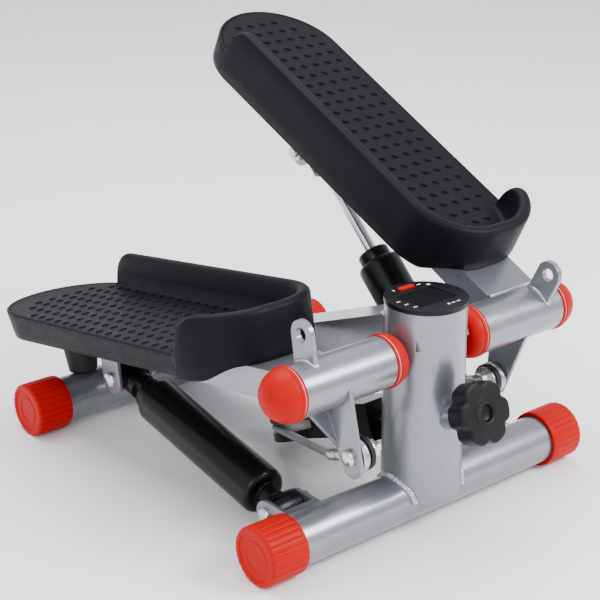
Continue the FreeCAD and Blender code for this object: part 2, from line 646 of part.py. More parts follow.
keep("screw_boss", screw_boss(), SCREW)
keep("height_knob", height_knob(), SCREW)
keep("adjuster_screw", cylinder("spindle_radius", "spindle_back - spindle_front", ("0", "spindle_front", "0"), "Y"), SCREW)
keep("pulley_fork", pulley_fork(), SCREW)
keep("pulley_pin", cylinder("pin_radius", "2 * cheek_thick + 3", ("0", "pulley_along", "-cheek_thick - 1.5"), "Z"), SCREW)
keep("pulley", pulley(), SCREW)


# ---------------------------------------------------------------- the rope: a bight round the pulley and two runs
def loop_centre(side):
    """Where a lever's bolt holds the rope, in the screw's frame."""
    sign = 1 if side == "right" else -1
    bolt = PEDAL[side].multVec(Vector(sign * value("loop_across"), value("lever_along"), -value("lever_drop")))
    return SCREW.inverse().multVec(bolt)


def sleeve_frame(side):
    """A frame at the lever's bolt with Z along the pressed sleeve, which lies square to the bolt."""
    centre = loop_centre(side)
    heading = Vector(0, value("pulley_along"), 0) - centre
    return Placement(centre, Rotation(Z_AXIS, Vector(0, heading.y, heading.z)))


def run_start(side):
    return sleeve_frame(side).multVec(Vector(0, 0, value("ferrule_end")))


def leaving_angle(side):
    """Angle round the pulley at which the straight run to a lever leaves it."""
    away = run_start(side) - Vector(0, value("pulley_along"), 0)
    spread = math.acos(value("rope_round") / math.hypot(away.x, away.y))
    heading = math.atan2(away.y, away.x)
    return heading + spread if side == "right" else heading - spread


def leaving_point(side):
    angle, reach = leaving_angle(side), value("rope_round")
    return Vector(reach * math.cos(angle), value("pulley_along") + reach * math.sin(angle), 0)


def rope_bight():
    start, end = leaving_angle("right"), leaving_angle("left") % (2 * math.pi)
    bight = doc.addObject("Part::Torus", "bight")
    bind(bight, Radius1="rope_round", Radius2="rope_radius")
    bight.Angle3 = math.degrees(end - start)
    bight.Placement = Placement(Vector(0, value("pulley_along"), 0), Rotation(Z_AXIS, math.degrees(start)))
    return bight


def rope_eye(side):
    """The rope's end loop round the bolt, with a pressed sleeve."""
    frame = sleeve_frame(side)
    sleeve = cylinder("ferrule_radius", "ferrule_end - ferrule_start", ("0", "0", "ferrule_start"), "Z")
    neck = cylinder("rope_radius", "ferrule_start + 1 - loop_round", ("0", "0", "loop_round"), "Z")
    straight = group(joined(sleeve, neck))
    straight.Placement = frame
    loop = doc.addObject("Part::Torus", "loop")
    bind(loop, Radius1="loop_round", Radius2="rope_radius")
    loop.Placement = Placement(frame.Base, Rotation(Y_AXIS, 90))
    return joined(loop, straight)


def rope_run(side):
    """The straight run, with a hair's gap at each end where the rope carries on in the next piece."""
    start, start_gap, end_gap = run_start(side), 0.9, 1.6
    line = leaving_point(side) - start
    run = group(cylinder("rope_radius", f"{line.Length - start_gap - end_gap:.4f}", ("0", "0", str(start_gap)), "Z"))
    run.Placement = Placement(start, Rotation(Z_AXIS, line))
    return run


keep("rope_bight", rope_bight(), SCREW)
for side in ("right", "left"):
    keep(f"rope_eye_{side}", rope_eye(side), SCREW)
    keep(f"rope_run_{side}", rope_run(side), SCREW)


# ---------------------------------------------------------------- monitor
def oval(radius, height, low):
    """A rounded bar along X at the button's place."""
    ends = [cylinder(radius, height, (f"{side} * button_half", "button_y", low), "Z") for side in (-1, 1)]
    middle = box(("2 * button_half", f"2 * ({radius})", height), ("-button_half", f"button_y - ({radius})", low))
    return joined(middle, *ends)


def centred_box(across, along, tall, low):
    return box((across, along, tall), (f"-({across}) / 2", f"-({along}) / 2", low))


def monitor_housing():
    bezel = cylinder("bezel_radius", "bezel_top - post_top", ("0", "0", "post_top"), "Z")
    plug = cylinder("plug_radius", "post_top - plug_bottom", ("0", "0", "plug_bottom"), "Z")
    cavity = cylinder("plug_bore", "plug_roof - plug_bottom + 1", ("0", "0", "plug_bottom - 1"), "Z")
    window = centred_box("window_x", "window_y", "window_depth + 1", "bezel_top - window_depth")
    opening = centred_box("panel_x + 0.6", "panel_y + 0.6", "bezel_top - plug_roof + 2", "plug_roof - 1")
    slot = oval("button_radius + 0.35", "bezel_top - plug_roof + 2", "plug_roof - 1")
    return cut(joined(bezel, plug), cavity, window, opening, slot)


def mode_button():
    return joined(oval("button_radius", "bezel_top + 1 - plug_roof + 1.2", "plug_roof - 1.2"),
                  oval("button_radius + 0.5", "0.9", "plug_roof - 1.2"))


keep("monitor_housing", monitor_housing(), BASE)
keep("monitor_lens", centred_box("window_x", "window_y", "lens_thick", "bezel_top - window_depth"), BASE)
keep("lcd_panel", centred_box("panel_x", "panel_y", "1.5", "bezel_top - window_depth - 1.5"), BASE)
keep("circuit_board", centred_box("board_x", "board_y", "board_thick", "board_z"), BASE)
keep("battery_cell", cylinder("cell_radius", "cell_length",
                              ("-cell_length / 2", "0", "board_z - cell_radius - 0.5")), BASE)
keep("mode_button", mode_button(), BASE)


# ---------------------------------------------------------------- check and write
doc.recompute()
for thing in doc.Objects:
    if {"Invalid", "Error"} & set(thing.State):
        raise RuntimeError(f"{thing.Name} ({thing.TypeId}) is {thing.State}")
os.makedirs("parts", exist_ok=True)
for old in os.listdir("parts"):
    os.remove(os.path.join("parts", old))
for piece in pieces:
    if piece.Shape.isNull() or not piece.Shape.isValid():
        raise RuntimeError(f"{piece.Label} has no valid shape")
    piece.Shape.exportStep(f"parts/{piece.Label}.step")
whole = FreeCAD.BoundBox()
for piece in pieces:
    whole.add(piece.Shape.optimalBoundingBox(False))
print(len(pieces), "nodes; X", round(whole.XMin, 2), round(whole.XMax, 2), "Y", round(whole.YMin, 2),
      round(whole.YMax, 2), "Z", round(whole.ZMin, 2), round(whole.ZMax, 2))
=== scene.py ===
"""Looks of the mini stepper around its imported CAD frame.  Lengths are in millimetres until a mesh is made."""

import json
import math

import bmesh
import bpy
from mathutils import Matrix, Vector


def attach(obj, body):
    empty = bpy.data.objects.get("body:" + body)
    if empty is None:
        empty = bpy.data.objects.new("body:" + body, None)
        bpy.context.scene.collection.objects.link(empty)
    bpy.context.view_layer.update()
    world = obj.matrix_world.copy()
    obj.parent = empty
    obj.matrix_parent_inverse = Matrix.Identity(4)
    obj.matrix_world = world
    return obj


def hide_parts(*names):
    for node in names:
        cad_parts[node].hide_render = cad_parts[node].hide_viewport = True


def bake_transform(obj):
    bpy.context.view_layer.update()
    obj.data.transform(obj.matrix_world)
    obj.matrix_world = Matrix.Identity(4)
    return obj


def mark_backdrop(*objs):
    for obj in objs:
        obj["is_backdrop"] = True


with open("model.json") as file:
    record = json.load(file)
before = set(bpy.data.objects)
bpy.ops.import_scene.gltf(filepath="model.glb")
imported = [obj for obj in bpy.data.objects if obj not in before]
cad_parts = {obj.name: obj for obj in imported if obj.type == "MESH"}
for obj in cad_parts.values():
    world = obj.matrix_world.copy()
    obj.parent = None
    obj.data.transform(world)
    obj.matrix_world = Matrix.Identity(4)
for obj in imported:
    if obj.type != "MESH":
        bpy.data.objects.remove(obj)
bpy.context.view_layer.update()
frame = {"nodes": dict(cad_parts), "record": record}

MM = 0.001
MERGE_DISTANCE = 1e-6  # metres
SIDES = ("right", "left")

# sizes shared with the CAD part
FRONT_Y, BASE_SPAN, BASE_Z = -151.24, 306.0, 22.0
TUBE_R, POST_R, MONITOR_TOP = 19.0, 30.0, 175.5
BEAM_HALF, BEAM_TOP_Y, BEAM_TOP_Z = 25, 19.4, 162.2
CAP_R, CAP_START, CAP_END = 22.3, 126.0, 158.0
PIVOT_Y, PIVOT_Z = FRONT_Y - 2.0, 137.5
PITCH = {"right": 25.7, "left": -9.8}
ARM_X, ARM_HALF_WIDE, ARM_HALF_DEEP = 99.0, 25, 11
TREAD_X, PEDAL_HALF = 98.1, 57.7
TREAD_UNDER, TREAD_TOP, RIM_TOP = 15.7, 21.0, 50.0
TOE, HEEL, TOE_ROUND = 43.0, 321.0, 50.0
SCREW_SLOPE, SCREW_Z = 21.7, 81.6
KNOB_FRONT, KNOB_THICK, KNOB_R, KNOB_LOBES, KNOB_END = -68.7, 17.0, 23.5, 6, -43.0
PULLEY_Y, ROPE_ROUND, ROPE_R = 146.6, 23.0, 3.0
LEVER_Y, LEVER_DROP, LOOP_X, LOOP_R, LEVER_OUT = -12.0, 54.0, 85.6, 10.0, 92.0
SLEEVE_START, SLEEVE_END, SLEEVE_R = 14.5, 30.0, 4.5
CLEVIS_Y, CLEVIS_Z = 41.0, 22.0
UPPER_Y, UPPER_Z = 252.0, -34.0
EAR_INSIDE, EAR_THICK = 13, 3
EYE_BORE, EYE_R, EYE_HALF = 4.1, 11.5, 12.0
BARREL_R, BARREL_START, BARREL_END = 18.5, 21.0, 163.0
GLAND_R, GLAND_END, ROD_HOLE_R = 13.5, 173.0, 5.3
BAND_EYE_X, BAND_EYE_HALF, BAND_EYE_REACH = 111, 2.6, 10.8
BUMPER_Y, BUMPER_BOTTOM = 323.2, -42.0

# sizes of the visual model alone
# the first two numbers place the thin rings of painted highlight in the grooves of the dome and the collar
DOME_HIGHLIGHT, COLLAR_HIGHLIGHT = 129.3, 43.7
ROPE_SIDES, ROPE_STRANDS, STRAND_DEPTH = 42, 7, 0.20
BEAD_WAVES = (2.4, 5.3)  # slow and fast unevenness of a weld, radians a millimetre
BUMP_COLUMNS, BUMP_ROWS = 13.0, 12.6
BUMP_HALF_LONG, BUMP_HALF_WIDE = 3.5, 1.55


def turn_x(degrees):
    return Matrix.Rotation(math.radians(degrees), 4, "X")


BASE = Matrix.Translation((0, FRONT_Y, 0))
PIVOT = Matrix.Translation((0, PIVOT_Y, PIVOT_Z))
PEDAL = {side: PIVOT @ turn_x(PITCH[side]) for side in SIDES}
SCREW = Matrix.Translation((0, FRONT_Y, SCREW_Z)) @ turn_x(-SCREW_SLOPE)
LOWER = Vector((0, FRONT_Y + CLEVIS_Y, CLEVIS_Z))


def damper_frame(side):
    """Frame at the lower bolt with Y along the damper."""
    reach = PEDAL[side] @ Vector((0, UPPER_Y, UPPER_Z)) - LOWER
    return Matrix.Translation(LOWER) @ turn_x(math.degrees(math.atan2(reach.z, reach.y)))


DAMPER = {side: damper_frame(side) for side in SIDES}


# ---------------------------------------------------------------- materials
class Nodes:
    """A small builder for one material's node tree."""

    def __init__(self, name):
        self.material = bpy.data.materials.new(name)
        self.material.use_nodes = True
        self.tree = self.material.node_tree
        self.shader = self.tree.nodes["Principled BSDF"]
        self.place = self.add("ShaderNodeTexCoord").outputs["Object"]

    def add(self, kind, **settings):
        node = self.tree.nodes.new(kind)
        for key, setting in settings.items():
            if key in node.inputs:
                node.inputs[key].default_value = setting
            else:
                setattr(node, key, setting)
        return node

    def link(self, source, target):
        self.tree.links.new(source, target)

    def noise(self, scale, detail):
        texture = self.add("ShaderNodeTexNoise", Scale=scale, Detail=detail)
        self.link(self.place, texture.inputs["Vector"])
        return texture.outputs["Fac"]

    def spread(self, fac, low, high, into, start=0.3, end=0.7):
        """Map a noise onto a range of a shader value."""
        node = self.add("ShaderNodeMapRange")
        node.inputs["From Min"].default_value = start
        node.inputs["From Max"].default_value = end
        node.inputs["To Min"].default_value = low
        node.inputs["To Max"].default_value = high
        self.link(fac, node.inputs["Value"])
        self.link(node.outputs["Result"], self.shader.inputs[into])

    def blotch(self, fac, dark, light, start=0.3, end=0.7):
        """Mottle the base colour between two close colours."""
        ramp = self.add("ShaderNodeValToRGB")
        ramp.color_ramp.elements[0].position = start
        ramp.color_ramp.elements[1].position = end
        ramp.color_ramp.elements[0].color = (*dark, 1)
        ramp.color_ramp.elements[1].color = (*light, 1)
        self.link(fac, ramp.inputs["Fac"])
        self.link(ramp.outputs["Color"], self.shader.inputs["Base Color"])

    def relief(self, fac, strength, distance, edge=0.0):
        """Fine surface relief, over edges that catch the light as if rounded."""
        bump = self.add("ShaderNodeBump", Strength=strength, Distance=distance)
        self.link(fac, bump.inputs["Height"])
        if edge:
            bevel = self.add("ShaderNodeBevel", samples=6, Radius=edge)
            self.link(bevel.outputs["Normal"], bump.inputs["Normal"])
        self.link(bump.outputs["Normal"], self.shader.inputs["Normal"])

    def set(self, **values):
        for name, number in values.items():
            self.shader.inputs[name.replace("_", " ")].default_value = number
        return self.material


def paint(name, dark, light, metallic, rough, coat, grain=1600, edge=0.0012, bump=0.12, level=0.5):
    """A coated surface, plain or with metal flakes."""
    made = Nodes(name)
    made.blotch(made.noise(60, 4), dark, light)
    made.spread(made.noise(220, 4), rough - 0.03, rough + 0.05, "Roughness")
    made.relief(made.noise(grain, 2), bump, 0.00012, edge)
    return made.set(Metallic=metallic, Coat_Weight=coat, Coat_Roughness=0.12, Specular_IOR_Level=level)


def moulded(name, dark, light, rough, grain, bump, edge=0.0006, level=0.5):
    """A plastic or rubber with a fine moulded grain."""
    made = Nodes(name)
    made.blotch(made.noise(35, 4), dark, light)
    made.spread(made.noise(140, 3), rough - 0.04, rough + 0.05, "Roughness")
    made.relief(made.noise(grain, 3), bump, 0.0002, edge)
    return made.set(Specular_IOR_Level=level)


def metal(name, dark, light, rough, edge=0.0005):
    """Bare or plated metal."""
    made = Nodes(name)
    made.blotch(made.noise(90, 3), dark, light)
    grain = made.noise(500, 2)
    made.spread(grain, rough - 0.05, rough + 0.08, "Roughness")
    made.relief(grain, 0.05, 0.0001, edge)
    return made.set(Metallic=1.0)


MATERIAL = {
    "silver_paint": paint("silver_paint", (0.235, 0.24, 0.27), (0.265, 0.27, 0.30), 0.72, 0.30, 0.35),
    "red_plastic": moulded("red_plastic", (0.40, 0.0002, 0.0004), (0.46, 0.0004, 0.0006), 0.42, 900, 0.04,
                           level=0.09),
    "black_moulding": moulded("black_moulding", (0.0026, 0.0024, 0.0044), (0.0038, 0.0036, 0.0062), 0.5, 1500,
                              0.22, level=0.12),
    # A darker copy of the black moulding for the tread bumps: painted shade, the bumps are the same black
    # moulding.
    "grip_painted_shade": moulded("grip_painted_shade", (0.0018, 0.0017, 0.0030), (0.0026, 0.0024, 0.0042), 0.5, 1500, 0.1, level=0.08),
    "black_paint": paint("black_paint", (0.0008, 0.0008, 0.0011), (0.0016, 0.0016, 0.0020), 0.0, 0.34, 0.1,
                         bump=0.08, level=0.2),
    "chrome": metal("chrome", (0.70, 0.71, 0.73), (0.76, 0.77, 0.79), 0.12),
    "zinc": metal("zinc", (0.56, 0.56, 0.55), (0.66, 0.66, 0.64), 0.26),
    "black_rubber": moulded("black_rubber", (0.008, 0.008, 0.009), (0.012, 0.012, 0.013), 0.6, 800, 0.2,
                            level=0.3),
    "black_gloss": moulded("black_gloss", (0.0030, 0.0030, 0.0038), (0.0045, 0.0045, 0.0055), 0.36, 1400,
                           0.08, level=0.2),
    "knob_plastic": moulded("knob_plastic", (0.0028, 0.0028, 0.0034), (0.0040, 0.0040, 0.0048), 0.42, 1300,
                             0.15, level=0.2),
    "grey_nylon": moulded("grey_nylon", (0.45, 0.45, 0.44), (0.52, 0.52, 0.50), 0.5, 700, 0.1),
    "steel_rope": metal("steel_rope", (0.40, 0.40, 0.41), (0.50, 0.50, 0.51), 0.32),
    "lcd": moulded("lcd", (0.0045, 0.0048, 0.0055), (0.0060, 0.0064, 0.0072), 0.4, 900, 0.02, level=0.1),
    "board": moulded("board", (0.01, 0.10, 0.03), (0.02, 0.15, 0.05), 0.4, 600, 0.1),
    "cell": moulded("cell", (0.08, 0.10, 0.16), (0.10, 0.14, 0.20), 0.3, 400, 0.05),
    "print": moulded("print", (0.66, 0.66, 0.66), (0.74, 0.74, 0.74), 0.5, 900, 0.05, edge=0.0),
    # A lighter copy of the silver paint for the welded beads: a painted highlight, the beads are silver paint
    # like the frame.
    "weld_painted_highlight": paint("weld_painted_highlight", (0.42, 0.425, 0.44), (0.55, 0.555, 0.57), 0.7, 0.28, 0.3, grain=900, edge=0.0,
                  bump=0.5),
    # Pale pink-white colour for the thin rings in the grooves of the red caps: a painted highlight, the rings
    # are red plastic.
    "groove_painted_highlight": moulded("groove_painted_highlight", (0.55, 0.5, 0.5), (0.68, 0.64, 0.64), 0.3, 900, 0.03, edge=0.0),
}
glass = Nodes("clear_lens")
glass.spread(glass.noise(120, 2), 0.04, 0.10, "Roughness")
glass.relief(glass.noise(300, 2), 0.02, 0.0001)
MATERIAL["clear_lens"] = glass.set(Base_Color=(0.02, 0.02, 0.025, 1), Alpha=0.3, Specular_IOR_Level=0.25)

for part in frame["record"]["subparts"]:
    node = frame["nodes"][part["node"]]
    node.data.materials.clear()
    node.data.materials.append(MATERIAL[part["material_slot"]])


# ---------------------------------------------------------------- meshes
class Shape:
    """Vertices in millimetres and the faces between them."""

    def __init__(self):
        self.points = []
        self.faces = []

    def rings(self, rings, first_cap=False, last_cap=False):
        """Skin neighbouring rings of equal length, and fill either end."""
        start, width = len(self.points), len(rings[0])
        for ring in rings:
            self.points.extend(ring)
        for row in range(len(rings) - 1):
            low, high = start + row * width, start + (row + 1) * width
            for i in range(width):
                j = (i + 1) % width
                self.faces.append((low + i, low + j, high + j, high + i))
        if first_cap:
            self.faces.append(tuple(range(start + width - 1, start - 1, -1)))
        if last_cap:
            last = start + (len(rings) - 1) * width
            self.faces.append(tuple(range(last, last + width)))
        return self

    def box(self, low, high):
        (x0, y0, z0), (x1, y1, z1) = low, high
        bottom = [(x0, y0, z0), (x1, y0, z0), (x1, y1, z0), (x0, y1, z0)]
        top = [(x, y, z1) for x, y, _ in bottom]
        return self.rings([bottom, top], first_cap=True, last_cap=True)

    def made(self, name, body, material, place, mirror=False, slot=None, sharp=35, replaces=(), ride=True):
        """The finished piece: put in place, on its body and with its material."""
        points = [place @ Vector((-x, y, z) if mirror else (x, y, z)) for x, y, z in self.points]
        mesh = bpy.data.meshes.new(name)
        mesh.from_pydata([point * MM for point in points], [], self.faces)
        mesh.update()
        piece = bpy.data.objects.new(name, mesh)
        bpy.context.scene.collection.objects.link(piece)
        outward(mesh)
        mesh.shade_smooth()
        mesh.set_sharp_from_angle(angle=math.radians(sharp))
        mesh.materials.append(MATERIAL[material])
        if ride:
            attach(piece, body)
        if replaces:
            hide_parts(*replaces)
        return piece


def outward(mesh):
    """Merge points that meet, and turn every face outwards."""
    work = bmesh.new()
    work.from_mesh(mesh)
    bmesh.ops.remove_doubles(work, verts=work.verts, dist=MERGE_DISTANCE)
    bmesh.ops.recalc_face_normals(work, faces=work.faces)
    work.to_mesh(mesh)
    work.free()


def turns(count):
    """Angles spread evenly round one full turn."""
    return [2 * math.pi * k / count for k in range(count)]


def filleted(corners, radius, steps=6):
    """An open line with its inner corners rounded.  radius is one number, or one for each inner corner."""
    radii = radius if isinstance(radius, (list, tuple)) else [radius] * (len(corners) - 2)
    out = [corners[0]]
    for before, corner, after, r in zip(corners, corners[1:], corners[2:], radii):
        a, c, b = Vector(before), Vector(corner), Vector(after)
        to_a, to_b = (a - c), (b - c)
        if r <= 0:
            out.append(tuple(c))
            continue
        half = to_a.angle(to_b) / 2
        back = min(r / math.tan(half), 0.49 * to_a.length, 0.49 * to_b.length)
        r = back * math.tan(half)
        centre = c + (to_a.normalized() + to_b.normalized()).normalized() * (r / math.sin(half))
        first, last = c + to_a.normalized() * back - centre, c + to_b.normalized() * back - centre
        swing = first.angle(last)
        for step in range(steps + 1):
            part = step / steps
            if swing < 1e-6:
                break
            mix = (first * math.sin((1 - part) * swing) + last * math.sin(part * swing)) / math.sin(swing)
            out.append(tuple(centre + mix))
    out.append(corners[-1])
    return out


def circle(radius, place, around, count):
    """Points round an axis: place is the centre, around names the axis."""
    x, y, z = place
    ring = []
    for angle in turns(count):
        a, b = radius * math.cos(angle), radius * math.sin(angle)
        ring.append({"X": (x, y + a, z + b), "Y": (x + b, y, z + a), "Z": (x + a, y + b, z)}[around])
    return ring


def lathe(profile, centre, axis, count=96, shape=None):
    """Turn a profile of (along, radius) about a line along X, Y or Z."""
    shape = shape or Shape()
    step = "XYZ".index(axis)
    rings = []
    for along, radius in profile:
        place = list(centre)
        place[step] += along
        rings.append(circle(max(radius, 0.01), place, axis, count))
    return shape.rings(rings)


def sweep(path, radius, count=14, closed=False, strands=0, lay=16.0, shape=None, wobble=0.0):
    """A round or stranded rod along a path of points."""
    shape = shape or Shape()
    points = [Vector(point) for point in path]
    total, travelled, rings = len(points), 0.0, []
    normal = None
    for i, point in enumerate(points):
        ahead = points[(i + 1) % total] if closed or i + 1 < total else point
        behind = points[i - 1] if closed or i else point
        along = (ahead - behind).normalized()
        if normal is None:
            normal = along.orthogonal().normalized()
        normal = (normal - along * normal.dot(along)).normalized()
        side = along.cross(normal)
        if i:
            travelled += (point - points[i - 1]).length
        twist = 2 * math.pi * travelled / lay
        slow, fast = (travelled * wave for wave in BEAD_WAVES)
        swell = 1 + wobble * math.sin(slow) + 0.5 * wobble * math.sin(fast + 1)
        ring = []
        for angle in turns(count):
            r = radius * swell
            if strands:
                lobe = abs(math.sin(strands * (angle - twist) / 2))
                r = radius * (1 - STRAND_DEPTH + STRAND_DEPTH * math.sqrt(lobe))
            ring.append(tuple(point + normal * (r * math.cos(angle)) + side * (r * math.sin(angle))))
        rings.append(ring)
    if closed:
        rings.append(rings[0])
    return shape.rings(rings, first_cap=not closed, last_cap=not closed)


# ---------------------------------------------------------------- end caps
def end_cap():
    """A cup with ribs round its side, a plain band at the mouth and a dished end face with a raised ring."""
    count, ribs, rib_depth, mouth_band = 312, 26, 0.75, 1.5
    face = CAP_END - 1.1
    profile = filleted([(CAP_START + 1, TUBE_R + 0.15), (CAP_START, TUBE_R + 0.5), (CAP_START, CAP_R - 0.4),
                        (CAP_START + 4, CAP_R), (CAP_END, CAP_R), (CAP_END, CAP_R - 4.2)],
                       [0.2, 0.9, 0.3, 2.6], 5)
    profile += [(CAP_END - 0.9, CAP_R - 5.0), (face, CAP_R - 7), (face, 12.2), (CAP_END - 0.6, 11.6),
                (CAP_END - 0.6, 10.6), (face, 10.0), (CAP_END - 1.3, 0.0)]
    fine = []
    for (x0, r0), (x1, r1) in zip(profile, profile[1:]):
        cuts = 10 if x1 - x0 > 8 else 1
        fine += [(x0 + (x1 - x0) * k / cuts, r0 + (r1 - r0) * k / cuts) for k in range(cuts)]
    fine.append(profile[-1])
    shape, rings = Shape(), []
    for x, r in fine:
        ring = []
        ribbed = max(0.0, min(1.0, (x - CAP_START - mouth_band) / mouth_band)) if r > CAP_R - 4 else 0.0
        for angle in turns(count):
            groove = abs(math.sin(ribs * angle / 2)) ** 0.35
            cut = ribbed * rib_depth * (1 - groove)
            y, z = (r - cut) * math.cos(angle), (r - cut) * math.sin(angle)
            ring.append((x, y, max(z, -BASE_Z)))
        rings.append(ring)
    return shape.rings(rings)


CAP = end_cap()
for end, y in (("front", 0.0), ("rear", BASE_SPAN)):
    place = Matrix.Translation((0, FRONT_Y + y, BASE_Z))
    for side in SIDES:
        CAP.made(f"cap_{end}_{side}", "frame", "red_plastic", place, side == "left",
                 replaces=[f"{end}_caps"] if side == "right" else [])


# ---------------------------------------------------------------- pivot tube ends
def tube_dome():
    """A ball cap: a ring, a narrow groove, a second ring and a dome."""
    profile = [(126.6, 15.0), (127.05, 18.5)] + filleted(
        [(127.1, 18.6), (127.1, 19.7), (129.0, 19.7), (129.0, 19.2), (129.6, 19.2), (129.6, 19.9),
         (131.6, 19.9), (132.0, 19.3)], [0.5, 0.5, 0.0, 0.0, 0.5, 0.5], 4)
    ball, ball_centre = 19.3, 130.5
    profile += [(ball_centre + ball * math.sin(a), ball * math.cos(a)) for a in
                [math.radians(5 + 85 * k / 22) for k in range(23)]]
    return lathe(profile, (0, 0, 0), "X", 128)


def collar():
    """The inboard cap: the same rings, then a blunt dome that ends near the post."""
    profile = [(45.9, 9.0)] + filleted(
        [(45.9, 18.8), (45.9, 19.7), (44.0, 19.7), (44.0, 19.2), (43.4, 19.2), (43.4, 19.9), (41.2, 19.9),
         (40.9, 19.4)], [0.5, 0.5, 0.0, 0.0, 0.5, 0.5], 4)
    start, depth, blunt, bulge = 40.9, 9.6, 11.5, 7.9
    profile += [(start - depth * math.sin(a), blunt + bulge * math.cos(a)) for a in
                [math.radians(90 * k / 14) for k in range(1, 15)]]
    profile.append((31.3, 8.5))
    return lathe(profile, (0, 0, 0), "X", 128)


def groove_highlight_ring(x):
    """A thin pale ring in the groove between two rings: a painted highlight on the red plastic."""
    half, foot, crest = 0.32, 19.0, 19.42
    return lathe([(x - half, foot), (x - half, crest), (x + half, crest), (x + half, foot)], (0, 0, 0), "X")


for side in SIDES:
    body, place, flip = f"pedal_{side}", PEDAL[side], side == "left"
    tube_dome().made(f"dome_{side}", body, "red_plastic", place, flip, replaces=[f"pivot_dome_{side}"])
    collar().made(f"collar_{side}", body, "red_plastic", place, flip, replaces=[f"inner_collar_{side}"])
    # the thin pale rings in the grooves are painted highlight on the red plastic
    groove_highlight_ring(DOME_HIGHLIGHT).made(f"dome_line_{side}", body, "groove_painted_highlight", place, flip, slot="red_plastic")
    groove_highlight_ring(COLLAR_HIGHLIGHT).made(f"collar_line_{side}", body, "groove_painted_highlight", place, flip, slot="red_plastic")


# ---------------------------------------------------------------- moulded pedals
def outline(steps=420):
    """Points round the pedal with their inward direction, from the middle of the heel up the inboard side.
    u runs across from the pedal's middle, outboard positive, and s runs from the pivot to the heel."""
    side, corner = PEDAL_HALF - TOE_ROUND, TOE + TOE_ROUND
    arcs = [((0, HEEL), PEDAL_HALF, 90, 180), ((-side, corner), TOE_ROUND, 180, 270),
            ((side, corner), TOE_ROUND, 270, 360), ((0, HEEL), PEDAL_HALF, 0, 90)]
    arc_steps = 60
    dense = []
    for (u, s), radius, first, last in arcs:
        for k in range(arc_steps + 1):
            angle = math.radians(first + (last - first) * k / arc_steps)
            dense.append((u + radius * math.cos(angle), s + radius * math.sin(angle),
                          -math.cos(angle), -math.sin(angle)))
    lengths = [0.0]
    for before, after in zip(dense, dense[1:]):
        lengths.append(lengths[-1] + math.hypot(after[0] - before[0], after[1] - before[1]))
    out, k = [], 0
    for i in range(steps):
        want = lengths[-1] * i / steps
        while lengths[k + 1] < want:
            k += 1
        part = (want - lengths[k]) / max(lengths[k + 1] - lengths[k], 1e-9)
        out.append(tuple(a + (b - a) * part for a, b in zip(dense[k], dense[k + 1])))
    return out


def eased(part):
    """A soft step from 0 to 1."""
    part = max(0.0, min(1.0, part))
    return part * part * (3 - 2 * part)


def rim_height(u, s):
    """Height of the rim at a point of the outline: full round the toe, then a curve down to the tread."""
    start, end, power = (310.0, 331.0, 2.2) if u < 0 else (66.0, 92.0, 2.4)
    part = (s - start) / (end - start)
    if part <= 0:
        return RIM_TOP
    if part >= 1:
        return TREAD_TOP
    return TREAD_TOP + (RIM_TOP - TREAD_TOP) * (1 - part ** power) ** (1 / power)


def skirt_bottom(s):
    """The lower edge runs nearly parallel to the tread and climbs over the arm at the toe."""
    at_toe, taper, taper_start, over_arm, climb_start, climb = 3.3, 0.0205, 61, 11.5, 70, 21
    low = at_toe - taper * max(s - taper_start, 0)
    return low + (over_arm - low) * eased((climb_start - s) / climb)


def pedal_section(u, s):
    """One cut through the edge, as (inset, height): up the skirt, over the rim or lip, down to the tread."""
    top, low = rim_height(u, s), skirt_bottom(s)
    rise = max(0.0, min(1.0, (top - TREAD_TOP) / 4))
    draft = 4.0 * (1 - rise) * eased((u + 25) / 60)
    thick = 3.0 + 6.8 * rise
    round_out = 1.6 + 2.4 * rise
    floor = TREAD_TOP - 0.6
    section = [(thick + 2.0, TREAD_UNDER - 0.1), (draft + 4.4, max(low + 0.6, 12.0)),
               (draft + 4.1, low + 0.5), (draft + 3.6, low), (draft + 1.0, low), (draft + 0.15, low + 0.8)]
    wall = top - round_out - low - 0.8
    section += [(draft * (1 - part), low + 0.8 + wall * part) for part in (0.25, 0.5, 0.75)]
    for k in range(9):
        angle = math.pi * k / 8
        section.append((thick / 2 * (1 - math.cos(angle)), top - round_out + round_out * math.sin(angle)))
    section += [(thick + 0.3 * rise, floor + 0.5 * (top - round_out - floor)),
                (thick + 0.2 + 0.7 * rise, floor + 0.2 + 2.2 * rise),
                (thick + 0.6 + 2.2 * rise, floor + 0.05 + 0.5 * rise), (thick + 1.2 + 3.8 * rise, floor)]
    return section


def pedal():
    """Tread, skirt, rim and the ribs beneath."""
    shape = Shape()
    edge = outline()
    sections = [pedal_section(u, s) for u, s, _, _ in edge]
    rings = []
    for k in range(len(sections[0])):
        rings.append([(TREAD_X + u + nu * cut[k][0], s + ns * cut[k][0], cut[k][1])
                      for (u, s, nu, ns), cut in zip(edge, sections)])
    shape.rings(rings, first_cap=True, last_cap=True)
    rib_x, rib_thick, rib_spacing = 32, 3, 54
    for across in (-rib_x, rib_x):
        shape.box((TREAD_X + across - rib_thick / 2, TOE + 46, 4.5),
                  (TREAD_X + across + rib_thick / 2, HEEL - 20, TREAD_UNDER))
    for step in range(5):
        y = TOE + 51 + rib_spacing * step
        shape.box((TREAD_X - rib_x, y, 11.4), (TREAD_X + rib_x, y + rib_thick, TREAD_UNDER))
    return shape


